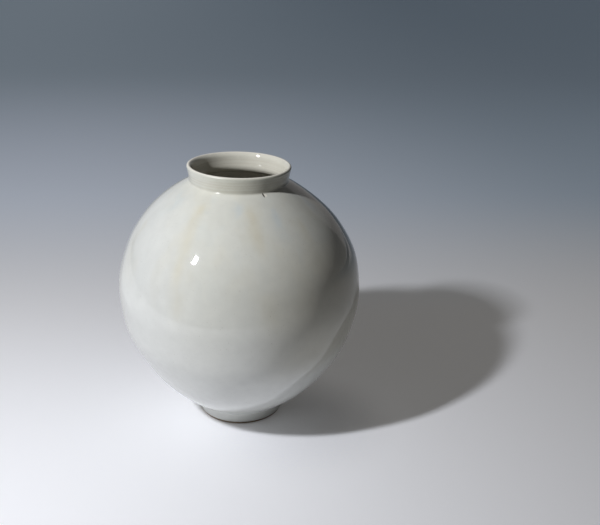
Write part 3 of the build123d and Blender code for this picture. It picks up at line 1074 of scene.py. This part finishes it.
def slip_finish(finish):
    """Fired slip: paler and smoother than the clay, a little streaky along the joint."""
    slip = Finish("joint_slip", roughness=0.75, specular=0.3)
    streak = slip.noise(scale=30, detail=4, stretch=(1, 1, 12))
    grit = slip.noise(scale=240)
    body = slip.mixed(slip.ranged(streak, *SLIP_STREAKS), finish.joint_slip, finish.clay)
    specks = slip.ranged(grit, *SLIP_SPECKS)
    slip.shade("Base Color", slip.mixed(specks, body, finish.toasted_clay))
    slip.shade("Roughness", slip.ranged(streak, *SLIP_ROUGHNESS))
    slip.bump(grit, GRIT_HEIGHT)
    return slip.material


# The paper's fibre, as the part of a noise that shows and its strength
FIBRE = (0.3, 0.7, 0.0, 0.02)

# How softly the paper's edges end, in metres before and after the edge
EDGE_BLUR = (-0.05, 0.05)
FRONT_EDGE_BLUR = (-0.05, 0.15)

# Where one tone of the floor passes into another, in metres from the jar, along Y and along X
BEHIND = (0.3, 1.3)
BEHIND_ACROSS = (-0.9, 1.3)
FAR = (1.4, 3.6)
FAR_ACROSS = (-2.0, 2.0)

# The pale floor along the paper's left edge: its direction, how far off it starts and where it ends in front
BESIDE_SIDE = radians(194)
BESIDE_START = (0.42, 0.60)
BESIDE_FRONT = (-0.5, 0.1)

# The pale floor before the screen: a strip to the right, its start, stop and front, and the screen's foot
STRIP_SIDE = radians(-22)
STRIP_START = (0.64, 0.80)
STRIP_STOP = (1.80, 1.40)
STRIP_FRONT = (1.0, 2.0)
SCREEN_FOOT = (8.3, 8.9)

# The close shade beside the foot: its middle, and the distance over which it ends
SHADE_MIDDLE = (0.09, -0.07)
SHADE_END = (0.04, 0.20)


def paper_finish(stage):
    """Pale matt paper with a faint fibre, ending along three straight edges past which the floor is dim. What
    is seen of the paper, straight or in the glaze, is a little paler than what it throws on the jar, most of
    all along its left edge and before the screen, and least beside the foot."""
    paper = Finish("pale_paper", roughness=0.9, specular=0.1)
    axes = paper.axes()
    x, y = axes["X"], axes["Y"]
    edges = (
        (stage.edge_side, stage.edge_away, FRONT_EDGE_BLUR),
        (stage.left_side, stage.left_away, EDGE_BLUR),
        (stage.corner_side, stage.corner_away, EDGE_BLUR),
    )
    front, left, corner = (
        paper.ranged(paper.toward(x, y, side), away + blur[0], away + blur[1]) for side, away, blur in edges
    )
    past = paper.most(front, paper.math("MINIMUM", left, corner))
    fibre = paper.ranged(paper.noise(scale=220), *FIBRE)
    body = paper.mixed(fibre, stage.paper, stage.dim)
    paper.shade("Base Color", paper.mixed(past, body, stage.dim))
    behind = paper.mixed(paper.ranged(x, *BEHIND_ACROSS), stage.left_paper, stage.right_paper)
    pale = paper.mixed(paper.ranged(y, *BEHIND), stage.near_paper, behind)
    far = paper.mixed(paper.ranged(x, *FAR_ACROSS), stage.far_left, stage.far_right)
    pale = paper.mixed(paper.ranged(y, *FAR), pale, far)
    beside = paper.ranged(paper.toward(x, y, BESIDE_SIDE), *BESIDE_START)
    pale = paper.mixed(paper.times(beside, paper.ranged(y, *BESIDE_FRONT)), pale, stage.beside)
    right = paper.toward(x, y, STRIP_SIDE)
    strip = paper.times(paper.ranged(right, *STRIP_START), paper.ranged(right, *STRIP_STOP))
    strip = paper.times(strip, paper.ranged(y, *STRIP_FRONT))
    before = paper.most(strip, paper.ranged(y, *SCREEN_FOOT))
    pale = paper.mixed(before, pale, stage.screen_floor)
    from_x, from_y = (paper.math("SUBTRACT", value, middle) for value, middle in zip((x, y), SHADE_MIDDLE))
    apart = paper.math("SQRT", paper.math("MULTIPLY_ADD", from_x, from_x, paper.times(from_y, from_y)))
    open_floor = paper.ranged(apart, *SHADE_END, stage.close_shade, 1.0)
    paper.shade("Emission Color", paper.mixed(past, pale, stage.room_floor))
    paper.shade("Emission Strength", paper.times(paper.seen(), open_floor))
    paper.material.cycles.emission_sampling = "NONE"
    return paper.material


# How softly the screen's right, left and upper edges end, and where its two tones meet
SCREEN_START_BLUR = (0.0, 0.07)
SCREEN_STOP_BLUR = (-0.02, 0.06)
SCREEN_TOP_BLUR = (0.02, -0.03)
SCREEN_ACROSS = (0.35, -0.25)


def air_around(stage):
    """Even light from all around. What is seen of it in the glaze is a plain dim room with a pale screen
    behind the jar."""
    world = bpy.data.worlds.new("air")
    world.use_nodes = True
    air = Nodes(world.node_tree, "Generated")
    x, y, z = air.axes()
    start = air.ranged(air.toward(x, y, stage.screen_start + pi / 2), *SCREEN_START_BLUR)
    stop = air.ranged(air.toward(x, y, stage.screen_stop - pi / 2), *SCREEN_STOP_BLUR)
    under = air.ranged(z, *(sin(stage.screen_top) + blur for blur in SCREEN_TOP_BLUR))
    screen = air.mixed(air.ranged(x, *SCREEN_ACROSS), stage.screen, stage.left_screen)
    room = air.mixed(air.times(air.times(start, stop), under), stage.wall, screen)
    back = world.node_tree.nodes["Background"]
    air.give(back.inputs["Color"], air.mixed(air.seen(), stage.air, room))
    return world


def hang_lamp(scene, stage):
    """A rectangular lamp that points at the jar's axis and doesn't show in the picture."""
    lamp = bpy.data.lights.new("lamp", "AREA")
    lamp.shape = "RECTANGLE"
    lamp.size = stage.light_width
    lamp.size_y = stage.light_tall
    lamp.energy = stage.light_power
    lamp.color = stage.light_colour
    holder = bpy.data.objects.new("lamp", lamp)
    place = Vector(stage.light_place)
    aim = Vector((0, 0, stage.light_aim)) - place
    holder.matrix_world = Matrix.Translation(place) @ aim.to_track_quat("-Z", "Y").to_matrix().to_4x4()
    holder.visible_camera = False
    scene.collection.objects.link(holder)


def set_camera(scene, stage):
    """A camera that looks ahead by its yaw and pitch and leans about that direction by its roll."""
    camera = bpy.data.cameras.new("camera")
    camera.lens = stage.lens
    yaw, pitch, roll = stage.camera_yaw, stage.camera_pitch, stage.camera_roll
    ahead = Vector((sin(yaw) * cos(pitch), cos(yaw) * cos(pitch), -sin(pitch)))
    right = Vector((cos(yaw), -sin(yaw), 0))
    above = right.cross(ahead)
    across = cos(roll) * right + sin(roll) * above
    up = cos(roll) * above - sin(roll) * right
    eye = bpy.data.objects.new("camera", camera)
    turn = Matrix((across, up, -ahead)).transposed().to_4x4()
    eye.matrix_world = Matrix.Translation((0, -stage.camera_distance, stage.camera_height)) @ turn
    scene.collection.objects.link(eye)
    scene.camera = eye


class MOONJAR_OT_clay(bpy.types.Operator):
    """Make the clay pieces: foot ring, lower bowl, upper bowl and neck collar"""

    bl_idname = "moonjar.clay"
    bl_label = "Clay Pieces"

    def execute(self, context):
        form = context.scene.moon_jar_form
        material = clay_finish(context.scene.moon_jar_finish)
        for node in ("foot_ring", "lower_bowl", "upper_bowl", "neck_collar"):
            make_piece(form, f"{node}_clay", node, material, HIDDEN_AROUND)
        return {"FINISHED"}


class MOONJAR_OT_slip(bpy.types.Operator):
    """Make the slip that joins the clay pieces at foot, belly and neck"""

    bl_idname = "moonjar.slip"
    bl_label = "Slip Joints"

    def execute(self, context):
        form = context.scene.moon_jar_form
        material = slip_finish(context.scene.moon_jar_finish)
        for node in ("foot_slip", "belly_slip", "neck_slip"):
            make_piece(form, f"{node}_layer", node, material, HIDDEN_AROUND)
        return {"FINISHED"}


class MOONJAR_OT_glaze(bpy.types.Operator):
    """Make the glaze coats: outside, inside and the recess under the base"""

    bl_idname = "moonjar.glaze"
    bl_label = "Glaze Coats"

    def execute(self, context):
        form = context.scene.moon_jar_form
        jar = JarSection(form)
        if abs(jar.height - coat_high.z) > form.glaze_thickness:
            raise ValueError(f"the section is {jar.height:.4f} m tall, and the CAD jar {coat_high.z:.4f} m")
        material = glaze_finish(context.scene.moon_jar_finish)
        divisions = {"outer_glaze": form.around, "inner_glaze": LINING_AROUND, "foot_glaze": HIDDEN_AROUND}
        for node, around in divisions.items():
            piece, radius, turn, height = make_piece(form, f"{node}_coat", node, material, around)
            for name, values in glaze_marks(jar, node, radius, turn, height).items():
                mark(piece, name, values)
        return {"FINISHED"}


class MOONJAR_OT_stage(bpy.types.Operator):
    """Set the pale floor, the lamp, the light from all around and the camera"""

    bl_idname = "moonjar.stage"
    bl_label = "Stage"

    def execute(self, context):
        scene = context.scene
        stage = scene.moon_jar_stage
        corners = np.array(((-1, -1, 0), (1, -1, 0), (1, 1, 0), (-1, 1, 0))) * stage.reach
        floor = piece_mesh("floor", corners, [(0, 1, 2, 3)])
        floor.data.materials.append(paper_finish(stage))
        hang_lamp(scene, stage)
        scene.world = air_around(stage)
        set_camera(scene, stage)
        scene.view_settings.view_transform = "Standard"
        return {"FINISHED"}


class MOONJAR_PT_panel(bpy.types.Panel):
    """Settings and buttons for the jar's pieces and its stage"""

    bl_label = "Moon Jar"
    bl_idname = "MOONJAR_PT_panel"
    bl_space_type = "VIEW_3D"
    bl_region_type = "UI"
    bl_category = "Moon Jar"

    def draw(self, context):
        for settings, group in SETTINGS.items():
            box = self.layout.box()
            for name in group.__annotations__:
                box.prop(getattr(context.scene, settings), name)
        for operator in STEPS:
            self.layout.operator(operator)


STEPS = ("moonjar.clay", "moonjar.slip", "moonjar.glaze", "moonjar.stage")
SETTINGS = {
    "moon_jar_form": MoonJarForm,
    "moon_jar_finish": MoonJarFinish,
    "moon_jar_stage": MoonJarStage,
}
CLASSES = (
    *SETTINGS.values(),
    MOONJAR_OT_clay,
    MOONJAR_OT_slip,
    MOONJAR_OT_glaze,
    MOONJAR_OT_stage,
    MOONJAR_PT_panel,
)


def register():
    """Makes the settings, operators and panel known to Blender."""
    for cls in CLASSES:
        bpy.utils.register_class(cls)
    for settings, group in SETTINGS.items():
        setattr(bpy.types.Scene, settings, PointerProperty(type=group))


def unregister():
    """Takes them away again."""
    for settings in SETTINGS:
        delattr(bpy.types.Scene, settings)
    for cls in reversed(CLASSES):
        bpy.utils.unregister_class(cls)


def main():
    """Builds the jar and its stage."""
    register()
    bpy.ops.moonjar.clay()
    bpy.ops.moonjar.slip()
    bpy.ops.moonjar.glaze()
    bpy.ops.moonjar.stage()


if __name__ == "__main__":
    main()
